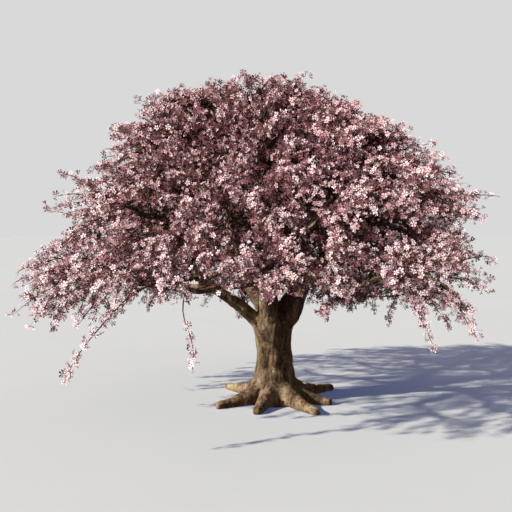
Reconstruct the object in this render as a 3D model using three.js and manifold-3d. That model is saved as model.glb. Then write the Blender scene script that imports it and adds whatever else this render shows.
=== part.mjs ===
// A cherry tree in full blossom: a short stout trunk on surface roots, five boughs and a leader that
// fork low down, and a wide domed crown whose blossom hangs out and down on long arching twigs.
// Millimetres, +Z up, the trunk's flat cut on the ground, origin at the middle of that cut.
import * as THREE from "three";
import { mergeVertices } from "three/addons/utils/BufferGeometryUtils.js";
import Module from "manifold-3d";

const wasm = await Module();
wasm.setup();

// ---- driving dimensions -------------------------------------------------------------------------
const TREE_HEIGHT = 6600; // ground to the top of the crown's dome
const CROWN_RADIUS = 4500; // at the crown's widest
const CROWN_CENTRE_X = -300; // the crown sits a little to the left of the trunk
const WIDEST_HEIGHT = 2500; // height of the crown's widest ring
const LOWEST_TIP = 1200; // the hanging twigs end here
const FRONT_LIFT = 1150; // the skirt is this much higher over the front of the trunk
const DOME_POWER = 1.72; // 2 is an ellipse, less is nearer a cone
const SKIRT_TUCK = 0.16; // share of the radius that the lowest tips come in by

const FORK_HEIGHT = 1650; // the boughs leave the trunk round here
const TRUNK_WAIST = 360; // the trunk's least radius
const GAP = 0.3; // between touching pieces
const BARK_COLOUR = "#6b5340";
const BLOSSOM_COLOURS = ["#d9a3ad", "#c98a97", "#e3b9bf"];

const LEADER_RADIUS = 185;
const LEADER_AZIMUTH = 60; // the way that the leader's tip bends over
// Each main bough: its sector's name, azimuth (0 is +X, 90 is +Y), rise at the fork, radius there.
const BOUGHS = [
  { sector: "left", azimuth: 186, rise: 38, radius: 130 },
  { sector: "front_left", azimuth: 258, rise: 64, radius: 190 },
  { sector: "front_right", azimuth: 330, rise: 42, radius: 130 },
  { sector: "back_right", azimuth: 42, rise: 60, radius: 175 },
  { sector: "back_left", azimuth: 114, rise: 52, radius: 155 },
];
// Each surface root: azimuth and distance of its tip from the origin.
const ROOTS = [
  { azimuth: 136, reach: 1330 },
  { azimuth: 213, reach: 1310 },
  { azimuth: 254, reach: 1180 },
  { azimuth: 306, reach: 1450 },
  { azimuth: 340, reach: 1260 },
  { azimuth: 32, reach: 1560 },
  { azimuth: 84, reach: 1240 },
];

// The rings of blossom, from the skirt up. tip is where a limb ends and its mass begins, as distance
// from the crown's axis and height. band is the range of heights that the mass's twigs end at. A mass's
// own space is halfAngle to each side of its azimuth, and between two elevations seen from the fork.
const LOW = { tip: [2250, 2420], band: [LOWEST_TIP, 3200], elevations: [-100, 21.5], halfAngle: 18 };
const MID = { tip: [1950, 3400], band: [3450, 4700], elevations: [21.5, 42], halfAngle: 18 };
const HIGH = { tip: [1150, 4450], band: [4800, 5750], elevations: [42, 62.5], halfAngle: 36 };
const TOP = { tip: [60, 5150], band: [5900, 6400], elevations: [62.5, 100], halfAngle: 180 };

// Long shoots that hang or reach out past the rest: their mass, the share of its stem that they spring
// from, and the azimuth, distance from the crown's axis and height of their tip.
const SHOOTS = [
  { mass: "blossom_left_low_2", share: 0.5, azimuth: 191, reach: 4720, height: 2380 },
  { mass: "blossom_left_low_2", share: 0.45, azimuth: 200, reach: 4200, height: 1900 },
  { mass: "blossom_front_left_low_1", share: 0.3, azimuth: 233, reach: 4750, height: 1250 },
  { mass: "blossom_front_left_low_1", share: 0.06, azimuth: 240, reach: 2250, height: 1080 },
  { mass: "blossom_front_right_low_1", share: 0.4, azimuth: 325, reach: 3700, height: 1460 },
  { mass: "blossom_front_right_low_2", share: 0.4, azimuth: 343, reach: 4250, height: 1420 },
  { mass: "blossom_front_right_mid_2", share: 0.5, azimuth: 359, reach: 4850, height: 4080 },
];

const TWIGS_A_MASS = 4;
const TWIG_SHARES = [0.72, 0.26]; // of the stem: where twigs for a mass's middle and its edge spring
const TWIG_REACHES = [0.9, 1.03]; // of the crown's reach
const TWIG_SPREAD = [0.86, 0.94]; // shares of a mass's width and of its band that its twigs end in
const TWIG_TURN = 1.7; // radians that each twig's sprays are turned on from the last twig's
const SIDE_SPRAYS = 2; // on each twig, besides the one at its end
const SIDE_SPRAY_SHARES = [0.38, 0.66]; // of the twig: where the first and last side spray spring
const TWIG_RADIUS = 17;
const TWIG_TIP_RADIUS = 7;
const STEM_RADIUS = 42;
const SPRAY_LENGTH = 640;
const SPRAY_WIDTH = 450;
const SPRAY_THICKNESS = 150;
const SPRAY_WIDEST = 0.62; // share of the length at which a spray is widest
const SPRAY_LEAN = 58; // degrees between a side spray and its twig
const TWIG_STEPS = 3; // the end spray takes the last step's place, on twigs and stems
const STEM_STEPS = 5;
// Multiples of the two steps, less their whole parts, spread evenly over a square.
const EVEN_STEPS = [0.7548776662, 0.569840291];
const EVEN_START = [0.62, 0.575];
const SEED = 20;

// ---- small helpers ------------------------------------------------------------------------------
const UP = new THREE.Vector3(0, 0, 1);
const GOLDEN_ANGLE = Math.PI * (3 - Math.sqrt(5));
const lerp = THREE.MathUtils.lerp;
const radians = THREE.MathUtils.degToRad;

// A repeatable source of numbers from 0 to 1.
function seeded(seed) {
  let state = seed >>> 0;
  return () => {
    state = (state + 0x6d2b79f5) >>> 0;
    let t = state;
    t = Math.imul(t ^ (t >>> 15), t | 1);
    t ^= t + Math.imul(t ^ (t >>> 7), t | 61);
    return ((t ^ (t >>> 14)) >>> 0) / 4294967296;
  };
}

const outward = (azimuth) =>
  new THREE.Vector3(Math.cos(radians(azimuth)), Math.sin(radians(azimuth)), 0);

// A point of the crown, from its distance to the crown's axis, its azimuth and its height.
const crownPoint = (distance, azimuth, height) =>
  outward(azimuth).multiplyScalar(distance).add(new THREE.Vector3(CROWN_CENTRE_X, 0, height));

// How far the crown reaches from its axis at a height.
function crownReach(height) {
  if (height >= WIDEST_HEIGHT) {
    const rise = Math.min(1, (height - WIDEST_HEIGHT) / (TREE_HEIGHT - WIDEST_HEIGHT));
    return CROWN_RADIUS * (1 - rise ** DOME_POWER) ** (1 / DOME_POWER);
  }
  const drop = (WIDEST_HEIGHT - height) / (WIDEST_HEIGHT - LOWEST_TIP);
  return CROWN_RADIUS * (1 - SKIRT_TUCK * drop * drop);
}

// The height at share of a ring's band, where the skirt is lifted at the front (azimuth 270).
function bandHeight(ring, azimuth, share) {
  const lift = ring === LOW ? FRONT_LIFT * Math.max(0, -Math.sin(radians(azimuth))) ** 2 : 0;
  return lerp(ring.band[0] + lift, ring.band[1], share);
}

// The way a twig points where it ends: down and out in the skirt, level near the top, up at the top.
function tipHeading(azimuth, height) {
  const share = (height - LOWEST_TIP) / (TREE_HEIGHT - LOWEST_TIP);
  const dip = radians(lerp(62, -28, share));
  return outward(azimuth).multiplyScalar(Math.cos(dip)).addScaledVector(UP, -Math.sin(dip));
}

// ---- limbs --------------------------------------------------------------------------------------
// A limb is a list of stations: a point, the tangent and a normal there, and the radius.
// It leaves start along heading, arrives at end along arrival, and wanders a little between.
function limb({ start, heading, end, arrival, radii, steps, wander = 0, random, power = 1 }) {
  const length = start.distanceTo(end);
  const curve = new THREE.CubicBezierCurve3(
    start,
    start.clone().addScaledVector(heading, length * 0.38),
    end.clone().addScaledVector(arrival, -length * 0.34),
    end,
  );
  const phase = random ? random() * 2 * Math.PI : 0;
  let normal = new THREE.Vector3().crossVectors(heading, UP);
  if (normal.length() < 0.1) normal.set(0, 1, 0);
  return Array.from({ length: steps + 1 }, (_, i) => {
    const t = i / steps;
    const tangent = curve.getTangent(t);
    normal = normal.clone().addScaledVector(tangent, -normal.dot(tangent)).normalize();
    const side = new THREE.Vector3().crossVectors(tangent, normal);
    const sway = wander * length * Math.sin(Math.PI * t) ** 2;
    const point = curve
      .getPoint(t)
      .addScaledVector(normal, sway * Math.sin(phase + 9 * t))
      .addScaledVector(side, sway * Math.cos(phase + 7 * t));
    return { point, tangent, normal, radius: lerp(radii[0], radii[1], t ** power) };
  });
}

// The limb's stations moved along it by distance at its first end, to leave a gap there.
function startLater(stations, distance) {
  const [first, ...rest] = stations;
  return [{ ...first, point: first.point.clone().addScaledVector(first.tangent, distance) }, ...rest];
}

// A place part of the way along a limb.
function along(stations, share) {
  const place = share * (stations.length - 1);
  const i = Math.min(stations.length - 2, Math.floor(place));
  const [a, b] = [stations[i], stations[i + 1]];
  return {
    point: a.point.clone().lerp(b.point, place - i),
    tangent: a.tangent.clone().lerp(b.tangent, place - i).normalize(),
    radius: lerp(a.radius, b.radius, place - i),
  };
}

// A closed solid round a limb: a cylinder whose rings are moved onto the stations.
function limbSolid(stations, sides, { grow = 0, outline = () => 1 } = {}) {
  const steps = stations.length - 1;
  const geometry = new THREE.CylinderGeometry(1, 1, 1, sides, steps);
  const position = geometry.getAttribute("position");
  const corner = new THREE.Vector3();
  for (let i = 0; i < position.count; i++) {
    corner.fromBufferAttribute(position, i);
    const ring = Math.round((0.5 - corner.y) * steps);
    const { point, tangent, normal, radius } = stations[ring];
    const side = new THREE.Vector3().crossVectors(tangent, normal);
    const reach = (radius + grow) * outline(Math.atan2(corner.z, corner.x), ring);
    const moved = point
      .clone()
      .addScaledVector(normal, corner.x * reach)
      .addScaledVector(side, corner.z * reach);
    position.setXYZ(i, moved.x, moved.y, moved.z);
  }
  return solidOf(geometry);
}

function solidOf(geometry) {
  const bare = geometry.index ? geometry.clone() : geometry;
  bare.deleteAttribute("normal");
  bare.deleteAttribute("uv");
  const merged = mergeVertices(bare, 1e-3);
  return new wasm.Manifold(
    new wasm.Mesh({
      numProp: 3,
      vertProperties: new Float32Array(merged.getAttribute("position").array),
      triVerts: new Uint32Array(merged.index.array),
    }),
  );
}

// The largest body of a solid, without the scraps that a cut or join may leave.
function mainBody(solid) {
  return solid.decompose().sort((a, b) => b.volume() - a.volume())[0];
}

function meshOf(solid, name, colour, roughness) {
  const { numProp, vertProperties, triVerts } = mainBody(solid).getMesh();
  const position = new Float32Array((vertProperties.length / numProp) * 3);
  for (let i = 0; i < position.length / 3; i++) {
    position.set(vertProperties.subarray(i * numProp, i * numProp + 3), i * 3);
  }
  const geometry = new THREE.BufferGeometry();
  geometry.setAttribute("position", new THREE.BufferAttribute(position, 3));
  geometry.setIndex(new THREE.BufferAttribute(triVerts, 1));
  geometry.computeVertexNormals();
  const material = new THREE.MeshStandardMaterial({ color: colour, roughness, metalness: 0 });
  const mesh = new THREE.Mesh(geometry, material);
  mesh.name = name;
  return mesh;
}

// ---- trunk and roots ----------------------------------------------------------------------------
// Height and radius of the trunk's rings, from below the cut to inside the fork.
const TRUNK_RINGS = [
  [-60, 1.62],
  [60, 1.5],
  [250, 1.34],
  [450, 1.18],
  [700, 1.06],
  [1000, 1.0],
  [1250, 1.06],
  [1450, 1.14],
  [1650, 1.2],
  [1830, 0.75],
];
const TRUNK_SIDES = 12;
const TRUNK_LEAN = [60, 25]; // the axis's x at the ground and at the fork
const trunkAxis = (height) =>
  new THREE.Vector3(lerp(...TRUNK_LEAN, Math.min(1, height / FORK_HEIGHT)), 0, height);

function trunkColumn() {
  const stations = TRUNK_RINGS.map(([height, share]) => ({
    point: trunkAxis(height),
    tangent: UP.clone(),
    normal: new THREE.Vector3(1, 0, 0),
    radius: TRUNK_WAIST * share,
  }));
  // Shallow flutes that wind a little round the trunk.
  const outline = (angle, ring) => {
    const twist = ring * 0.11;
    return 1 + 0.06 * Math.sin(3 * angle + twist) + 0.045 * Math.sin(5 * angle - 2 * twist);
  };
  return limbSolid(stations, TRUNK_SIDES, { outline });
}

// A root leaves the trunk as a ridge and runs out along the ground to a blunt tip.
const ROOT_SPRING = 760; // height at which it leaves the trunk
const ROOT_RADII = [245, 78];
const ROOT_TIP_RADIUS = 34;
const ROOT_BLUNTNESS = 52; // length of the rounded end, and the height of its middle
const ROOT_STEPS = 5;
const ROOT_SIDES = 6;

function rootSolid({ azimuth, reach }) {
  const away = outward(azimuth);
  const stations = limb({
    start: trunkAxis(0).addScaledVector(away, TRUNK_WAIST / 3).setZ(ROOT_SPRING),
    heading: away.clone().multiplyScalar(0.5).setZ(-0.86),
    end: away.clone().multiplyScalar(reach - ROOT_BLUNTNESS).setZ(ROOT_BLUNTNESS),
    arrival: away,
    radii: ROOT_RADII,
    steps: ROOT_STEPS,
    power: 0.75,
  });
  const tip = stations.at(-1);
  const nose = tip.point.clone().addScaledVector(away, ROOT_BLUNTNESS);
  stations.push({ ...tip, point: nose, radius: ROOT_TIP_RADIUS });
  return limbSolid(stations, ROOT_SIDES);
}

// ---- boughs -------------------------------------------------------------------------------------
const BOUGH_STEPS = 9;
const BOUGH_STUB_STEPS = 2; // the first steps belong to the trunk
const BOUGH_SIDES = 7;
const BOUGH_SWELL = 1.4; // a bough is this much thicker at its root, deep in the trunk
const LIMB_STEPS = 5;
const LIMB_SIDES = 5;

function mainBough({ azimuth, rise, radius }, random) {
  const heading = outward(azimuth).multiplyScalar(Math.cos(radians(rise))).setZ(Math.sin(radians(rise)));
  return limb({
    start: trunkAxis(FORK_HEIGHT - 260).addScaledVector(outward(azimuth), 90),
    heading,
    end: crownPoint(MID.tip[0], azimuth, MID.tip[1]),
    arrival: outward(azimuth).multiplyScalar(0.78).setZ(0.62),
    radii: [radius * BOUGH_SWELL, STEM_RADIUS],
    steps: BOUGH_STEPS,
    wander: 0.04,
    random,
    power: 0.62,
  });
}

function leaderBough(random) {
  return limb({
    start: trunkAxis(FORK_HEIGHT - 200),
    heading: new THREE.Vector3(-0.12, 0.1, 1).normalize(),
    end: crownPoint(TOP.tip[0], LEADER_AZIMUTH, TOP.tip[1]),
    arrival: new THREE.Vector3(0.05, 0.05, 1).normalize(),
    radii: [LEADER_RADIUS * BOUGH_SWELL, STEM_RADIUS],
    steps: BOUGH_STEPS,
    wander: 0.03,
    random,
    power: 0.62,
  });
}

// A limb that springs from the side of a bough and ends where its mass begins.
function sideLimb(parent, share, ring, azimuth, random) {
  const from = along(parent, share);
  const end = crownPoint(ring.tip[0], azimuth, ring.tip[1]);
  const away = end.clone().sub(from.point).normalize();
  return limb({
    start: from.point,
    heading: from.tangent.clone().multiplyScalar(0.5).add(away).normalize(),
    end,
    arrival: outward(azimuth).multiplyScalar(0.94).setZ(ring === HIGH ? 0.55 : 0.3).normalize(),
    radii: [from.radius * 0.66, STEM_RADIUS],
    steps: LIMB_STEPS,
    wander: 0.035,
    random,
    power: 0.8,
  });
}

// ---- masses of blossom --------------------------------------------------------------------------
// A mass's stem goes on from its limb and arches over to the crown's edge.
function massStem({ azimuth, ring, carrier }, random) {
  const tip = carrier.at(-1);
  const height = bandHeight(ring, azimuth, ring === TOP ? 0.7 : 0.5);
  const end = crownPoint(crownReach(height), azimuth, height);
  return limb({
    start: tip.point,
    heading: tip.tangent,
    end,
    arrival: tipHeading(azimuth, height),
    radii: [STEM_RADIUS, TWIG_TIP_RADIUS],
    steps: STEM_STEPS,
    wander: 0.02,
    random,
    power: 0.7,
  });
}

// The place on the crown's edge that twig number i grows to. The places are spread evenly.
function twigPlace({ azimuth, ring }, i, random) {
  const [across, upward] = EVEN_START.map((start, k) => 2 * ((start + (i + 1) * EVEN_STEPS[k]) % 1) - 1);
  const toAzimuth = azimuth + across * ring.halfAngle * TWIG_SPREAD[0];
  const height = bandHeight(ring, toAzimuth, 0.5 + 0.5 * upward * TWIG_SPREAD[1]);
  return {
    share: lerp(...TWIG_SHARES, Math.max(Math.abs(across), Math.abs(upward))),
    azimuth: toAzimuth,
    reach: crownReach(height) * lerp(...TWIG_REACHES, random()),
    height,
  };
}

// A twig that springs from a share of the stem and ends at its place, arching over.
function massTwig(stem, { share, azimuth, reach, height }, random) {
  const end = crownPoint(reach, azimuth, height);
  const from = along(stem, share);
  const away = end.clone().sub(from.point).normalize();
  return limb({
    start: from.point,
    heading: from.tangent.clone().multiplyScalar(0.9).add(away).normalize(),
    end,
    arrival: tipHeading(azimuth, height),
    radii: [TWIG_RADIUS, TWIG_TIP_RADIUS],
    steps: TWIG_STEPS,
    wander: 0.03,
    random,
  });
}

// A spray of blossom, as a flat pointed bud shape whose narrow root is sunk in the twig.
function sprayGeometry({ root, direction, face, size }) {
  const profile = [new THREE.Vector2(0, 1), new THREE.Vector2(1, SPRAY_WIDEST), new THREE.Vector2(0, 0)];
  const across = new THREE.Vector3().crossVectors(direction, face).normalize();
  const normal = new THREE.Vector3().crossVectors(across, direction).normalize();
  const basis = new THREE.Matrix4().makeBasis(
    across.multiplyScalar((size * SPRAY_WIDTH) / 2),
    direction.clone().multiplyScalar(size * SPRAY_LENGTH),
    normal.multiplyScalar((-size * SPRAY_THICKNESS) / 2),
  );
  return new THREE.LatheGeometry(profile, 3).applyMatrix4(basis.setPosition(root));
}

// The sprays of a twig: side sprays turned round it by the golden angle, and one at its end.
function twigSprays(twig, turn, random) {
  const lean = radians(SPRAY_LEAN);
  const sprays = [];
  for (let i = 0; i < SIDE_SPRAYS; i++) {
    const at = along(twig, lerp(...SIDE_SPRAY_SHARES, i / (SIDE_SPRAYS - 1)));
    const side = new THREE.Vector3().crossVectors(at.tangent, UP).normalize();
    side.applyAxisAngle(at.tangent, turn + i * GOLDEN_ANGLE);
    const direction = at.tangent.clone().multiplyScalar(Math.cos(lean)).addScaledVector(side, Math.sin(lean));
    const face = side.clone().cross(at.tangent).addScaledVector(UP, 0.4);
    sprays.push({ root: at.point, direction, face, size: lerp(0.8, 1.15, random()) });
  }
  const tip = twig.at(-1).point;
  const { point, tangent } = twig.at(-2);
  const direction = tip.clone().sub(point).normalize();
  const root = point.clone().addScaledVector(direction, -TWIG_RADIUS);
  const face = tangent.clone().cross(outward(360 * random()));
  sprays.push({ root, direction, face, size: Math.max(0.7, tip.distanceTo(root) / SPRAY_LENGTH) });
  return sprays;
}

// ---- the whole tree -----------------------------------------------------------------------------
const random = seeded(SEED);
const leader = leaderBough(random);
const limbs = [{ name: "leader", stations: leader, root: null, sides: BOUGH_SIDES }];
const masses = [{ name: "blossom_top", azimuth: LEADER_AZIMUTH, ring: TOP, carrier: leader }];

function addSideLimb(name, parent, share, ring, azimuth) {
  const stations = sideLimb(parent, share, ring, azimuth, random);
  limbs.push({ name: `limb_${name}`, stations, root: parent, sides: LIMB_SIDES });
  masses.push({ name: `blossom_${name}`, azimuth, ring, carrier: stations });
}

// Each bough carries one mass at its end and three more on limbs that spring from shares of its length.
for (const bough of BOUGHS) {
  const { sector, azimuth } = bough;
  const stations = mainBough(bough, random);
  limbs.push({ name: `bough_${sector}`, stations, root: null, sides: BOUGH_SIDES });
  masses.push({ name: `blossom_${sector}_mid_1`, azimuth, ring: MID, carrier: stations });
  addSideLimb(`${sector}_low_1`, stations, 0.42, LOW, azimuth - 18);
  addSideLimb(`${sector}_low_2`, stations, 0.54, LOW, azimuth + 18);
  addSideLimb(`${sector}_mid_2`, stations, 0.68, MID, azimuth + 36);
}
// The leader carries the high masses. Limbs next to each other on it point well apart.
BOUGHS.forEach(({ sector, azimuth }, i) => {
  const order = (3 * i) % BOUGHS.length;
  addSideLimb(`${sector}_high`, leader, 0.5 + 0.07 * order, HIGH, azimuth + 18);
});

masses.forEach((mass, i) => {
  mass.draw = seeded(SEED * 1000 + i);
  mass.stem = massStem(mass, mass.draw);
});

// How far a point lies inside a mass's own space.
function depthInSpace(point, { azimuth, ring }) {
  const fromFork = point.clone().sub(crownPoint(0, 0, FORK_HEIGHT));
  const level = Math.hypot(fromFork.x, fromFork.y);
  const elevation = Math.atan2(fromFork.z, level);
  const turned = fromFork.clone().applyAxisAngle(UP, -radians(azimuth));
  const aside = Math.abs(Math.atan2(turned.y, turned.x));
  return Math.min(
    ring === TOP ? Infinity : level * Math.sin(radians(ring.halfAngle) - aside),
    fromFork.length() * Math.sin(elevation - radians(ring.elevations[0])),
    fromFork.length() * Math.sin(radians(ring.elevations[1]) - elevation),
  );
}

// The least distance from a point to the bark of any limb, or of another mass's stem.
function distanceToLimbs(point, own) {
  let least = Infinity;
  const nearest = new THREE.Vector3();
  const stems = masses.filter((mass) => mass !== own).map(({ stem }) => stem);
  for (const stations of [...limbs.map((limb) => limb.stations), ...stems]) {
    for (let i = 1; i < stations.length; i++) {
      const piece = new THREE.Line3(stations[i - 1].point, stations[i].point);
      piece.closestPointToPoint(point, true, nearest);
      const radius = Math.max(stations[i - 1].radius, stations[i].radius);
      least = Math.min(least, nearest.distanceTo(point) - radius);
    }
  }
  return least;
}

const CLEARANCE = 12;
const keepsToItsSpace = (points, own) =>
  points.every((point) => Math.min(depthInSpace(point, own), distanceToLimbs(point, own)) > CLEARANCE);

function cornersOf(geometry) {
  const position = geometry.getAttribute("position");
  const corner = (_, i) => new THREE.Vector3().fromBufferAttribute(position, i);
  return Array.from({ length: position.count }, corner);
}

function massSolid(mass) {
  const { draw, stem } = mass;
  const parts = [limbSolid(startLater(stem.slice(0, -1), GAP), 3)];
  const twigs = [stem];
  const places = Array.from({ length: TWIGS_A_MASS }, (_, i) => twigPlace(mass, i, draw));
  for (const place of [...places, ...SHOOTS.filter((shoot) => shoot.mass === mass.name)]) {
    const twig = massTwig(stem, place, draw);
    if (keepsToItsSpace(twig.map(({ point }) => point), mass)) {
      twigs.push(twig);
      parts.push(limbSolid(twig.slice(0, -1), 3));
    }
  }
  twigs.forEach((twig, i) => {
    for (const spray of twigSprays(twig, i * TWIG_TURN, draw)) {
      const geometry = sprayGeometry(spray);
      if (keepsToItsSpace(cornersOf(geometry), mass)) parts.push(solidOf(geometry));
    }
  });
  return wasm.Manifold.union(parts);
}

function trunkSolid() {
  const parts = [trunkColumn(), ...ROOTS.map(rootSolid)];
  for (const { stations, root, sides } of limbs) {
    if (!root) parts.push(limbSolid(stations.slice(0, BOUGH_STUB_STEPS + 1), sides));
  }
  const ground = new THREE.BoxGeometry(6000, 6000, 1000).translate(0, 0, -500);
  return wasm.Manifold.union(parts).subtract(solidOf(ground));
}

function limbPiece({ stations, root, sides }) {
  if (!root) return limbSolid(startLater(stations.slice(BOUGH_STUB_STEPS), GAP), sides);
  return limbSolid(stations, sides).subtract(limbSolid(root, BOUGH_SIDES, { grow: 2 * GAP }));
}

const tree = new THREE.Group();
tree.name = "cherry_tree";
tree.add(meshOf(trunkSolid(), "trunk", BARK_COLOUR, 0.9));
for (const piece of limbs) tree.add(meshOf(limbPiece(piece), piece.name, BARK_COLOUR, 0.9));
masses.forEach((mass, i) => {
  tree.add(meshOf(massSolid(mass), mass.name, BLOSSOM_COLOURS[i % BLOSSOM_COLOURS.length], 0.7));
});
export default tree;
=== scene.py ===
"""A cherry tree in full blossom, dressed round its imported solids.

The trunk with its roots and the boughs get barked meshes. Each mass of blossom is grown again by the
rule that made its solid, and carried on to finer twigs, spurs and five-petalled flowers.
Metres, +Z up, origin on the ground under the trunk. Azimuths are in degrees: 0 is +X, 90 is +Y.
"""
import math

import bmesh
import bpy
import numpy as np
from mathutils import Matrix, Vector, noise


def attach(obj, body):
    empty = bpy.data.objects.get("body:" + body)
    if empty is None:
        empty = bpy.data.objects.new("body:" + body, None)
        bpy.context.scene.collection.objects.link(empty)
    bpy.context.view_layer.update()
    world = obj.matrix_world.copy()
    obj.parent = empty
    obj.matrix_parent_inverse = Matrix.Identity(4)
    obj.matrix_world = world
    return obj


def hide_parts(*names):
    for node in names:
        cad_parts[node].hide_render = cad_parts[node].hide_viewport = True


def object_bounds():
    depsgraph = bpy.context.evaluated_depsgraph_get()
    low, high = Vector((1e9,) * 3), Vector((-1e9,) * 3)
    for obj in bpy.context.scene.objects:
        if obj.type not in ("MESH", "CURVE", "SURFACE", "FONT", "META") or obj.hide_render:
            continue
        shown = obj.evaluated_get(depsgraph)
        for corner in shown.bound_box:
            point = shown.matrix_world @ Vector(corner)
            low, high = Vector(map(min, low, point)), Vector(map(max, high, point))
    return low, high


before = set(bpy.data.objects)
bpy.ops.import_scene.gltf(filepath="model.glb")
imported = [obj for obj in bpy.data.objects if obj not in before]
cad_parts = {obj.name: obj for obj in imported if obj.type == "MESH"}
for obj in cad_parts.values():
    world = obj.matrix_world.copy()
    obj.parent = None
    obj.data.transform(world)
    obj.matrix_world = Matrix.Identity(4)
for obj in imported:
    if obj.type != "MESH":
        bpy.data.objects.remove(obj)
cad_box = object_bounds()

# ---- the tree's driving dimensions, as in its solids ----------------------------------------------
TREE_HEIGHT = 6.6
CROWN_RADIUS = 4.5
CROWN_CENTRE_X = -0.3
WIDEST_HEIGHT = 2.5
LOWEST_TIP = 1.2
FRONT_LIFT = 1.15
DOME_POWER = 1.72
SKIRT_TUCK = 0.16
FORK_HEIGHT = 1.65
TRUNK_WAIST = 0.36
LEADER_RADIUS = 0.185
LEADER_AZIMUTH = 60
STEM_RADIUS = 0.042
TWIG_RADIUS = 0.017
TWIG_TIP_RADIUS = 0.007
BOUGH_SWELL = 1.4
SEED = 20
# Sector name, azimuth, rise at the fork and radius there, of each bough.
BOUGHS = [
    ("left", 186, 38, 0.13),
    ("front_left", 258, 64, 0.19),
    ("front_right", 330, 42, 0.13),
    ("back_right", 42, 60, 0.175),
    ("back_left", 114, 52, 0.155),
]
# Azimuth and reach of each surface root.
ROOTS = [(136, 1.33), (213, 1.31), (254, 1.18), (306, 1.45), (340, 1.26), (32, 1.56), (84, 1.24)]
# The rings of blossom. tip is (distance from the crown's axis, height).
LOW = {"name": "LOW", "tip": (2.25, 2.42), "band": (LOWEST_TIP, 3.2), "half_angle": 18}
MID = {"name": "MID", "tip": (1.95, 3.4), "band": (3.45, 4.7), "half_angle": 18}
HIGH = {"name": "HIGH", "tip": (1.15, 4.45), "band": (4.8, 5.75), "half_angle": 36}
TOP = {"name": "TOP", "tip": (0.06, 5.15), "band": (5.9, 6.4), "half_angle": 180}
# Mass, share of its stem, and azimuth, reach and height of the tip, of each long shoot.
SHOOTS = [
    ("blossom_left_low_2", 0.5, 191, 4.72, 2.38),
    ("blossom_left_low_2", 0.45, 200, 4.2, 1.9),
    ("blossom_front_left_low_1", 0.3, 233, 4.75, 1.25),
    ("blossom_front_left_low_1", 0.06, 240, 2.25, 1.08),
    ("blossom_front_right_low_1", 0.4, 325, 3.7, 1.46),
    ("blossom_front_right_low_2", 0.4, 343, 4.25, 1.42),
    ("blossom_front_right_mid_2", 0.5, 359, 4.85, 4.08),
]
FIRST_TWIGS = 4  # the twigs that a mass's solid has
EVEN_STEPS = (0.7548776662, 0.569840291)
EVEN_START = (0.62, 0.575)
TWIG_SHARES = (0.72, 0.26)
TWIG_REACHES = (0.9, 1.03)
TWIG_SPREAD = (0.86, 0.94)
TRUNK_RINGS = [
    (-0.06, 1.8), (0.06, 1.66), (0.25, 1.42), (0.45, 1.22), (0.7, 1.06),
    (1.0, 1.0), (1.25, 1.06), (1.45, 1.14), (1.65, 1.2), (1.83, 0.75),
]
TRUNK_LEAN = (0.06, 0.025)

# ---- what only the dressed tree has ----------------------------------------------------------------
MORE_TWIGS = {"LOW": 15, "MID": 20, "HIGH": 30, "TOP": 70}  # on each mass, after the first ones
MORE_REACHES = (0.3, 0.97)
BAND_OVERLAP = 1.05  # how far their band reaches below the mass's own
SHIFT_HEIGHTS = (2.4, 3.6, 4.8, 5.8)
CROWN_SHIFTS = (-0.15, 0.35, 0.3, -0.1)  # how far the crown's middle lies off its axis at those heights
INNER_TWIG_SPACING = 0.14
INNER_TWIG_LENGTHS = (0.8, 1.6)
WAND_SPACING = 0.3
WAND_LENGTHS = (1.8, 1.0)  # at a twig's root and at its tip
WAND_LEAN = 16
WAND_DROOP = 0.9
SPRIG_SPACING = 0.6
SPRIG_LENGTHS = (0.12, 0.34)
SPRIG_LEAN = 42
LOOSE_SPACING = 0.12  # of the sprigs on twigs that hang out of the crown
LOOSE_LENGTHS = (0.08, 0.24)
CLUSTER_SPACING = 0.11
FLOWERS_A_CLUSTER = 2.5
FLOWER_RADIUS = 0.047
PEDICEL = 0.055
EDGE = 0.06  # kept free inside the solids' box
SKIRT_HEIGHTS = (2.6, 1.7)  # the underside of the blossom, at the trunk and at the crown's edge
SKIRT_SAGS = (-0.35, 0.0, 0.4)
SKIRT_LIFT = 1.0  # of its edge at the front
DOME_SHARES = (0.76, 0.9, 1.1)
VOXEL = 0.02
CELL = 0.12  # of the grid that the flowers are counted in
TINT_STEPS = (1.1, 2.1, 3.2, 4.5)
TOP_PAINTED_SHADE = 0.9  # painted shade: how much deeper the tints get from the height of 3 m to the top, and paler below 3 m
# The darkest flowers, painted shade inside the crown, are drawn this much larger.
SHADE_FILLER_SIZE = 1.6
WAYS_OUT = ((0, 0), (-55, 0), (55, 0), (0, 45))  # turned from straight outward, and raised

UP = np.array([0.0, 0.0, 1.0])
GOLDEN_ANGLE = math.pi * (3 - math.sqrt(5))


def heading_to(azimuth, elevation):
    """The direction in which a light or an outward way lies."""
    azimuth, elevation = math.radians(azimuth), math.radians(elevation)
    level = math.cos(elevation)
    return Vector((level * math.cos(azimuth), level * math.sin(azimuth), math.sin(elevation)))


SUNWARD = heading_to(199, 28)  # a low sun at the left, a little in front


# ---- camera ----------------------------------------------------------------------------------------
def add_camera():
    """Stands well back, a little above half the tree's height, and looks slightly down."""
    data = bpy.data.cameras.new("camera")
    data.lens = 50
    data.sensor_width = 36
    data.clip_end = 500
    camera = bpy.data.objects.new("camera", data)
    camera.location = (-0.32, -14.2, 3.7)
    camera.rotation_euler = (math.radians(90 - 3.2), 0, 0)
    bpy.context.scene.collection.objects.link(camera)
    bpy.context.scene.camera = camera


add_camera()


# ---- helpers ---------------------------------------------------------------------------------------
def seeded(seed):
    """A repeatable source of numbers from 0 to 1, the same as the solids' one."""
    mask = 0xFFFFFFFF
    state = seed & mask

    def draw():
        nonlocal state
        state = (state + 0x6D2B79F5) & mask
        t = state
        t = ((t ^ (t >> 15)) * (t | 1)) & mask
        t ^= (t + (((t ^ (t >> 7)) * (t | 61)) & mask)) & mask
        return (t ^ (t >> 14)) / 4294967296

    return draw


def lerp(a, b, t):
    return a + (b - a) * t


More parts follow.
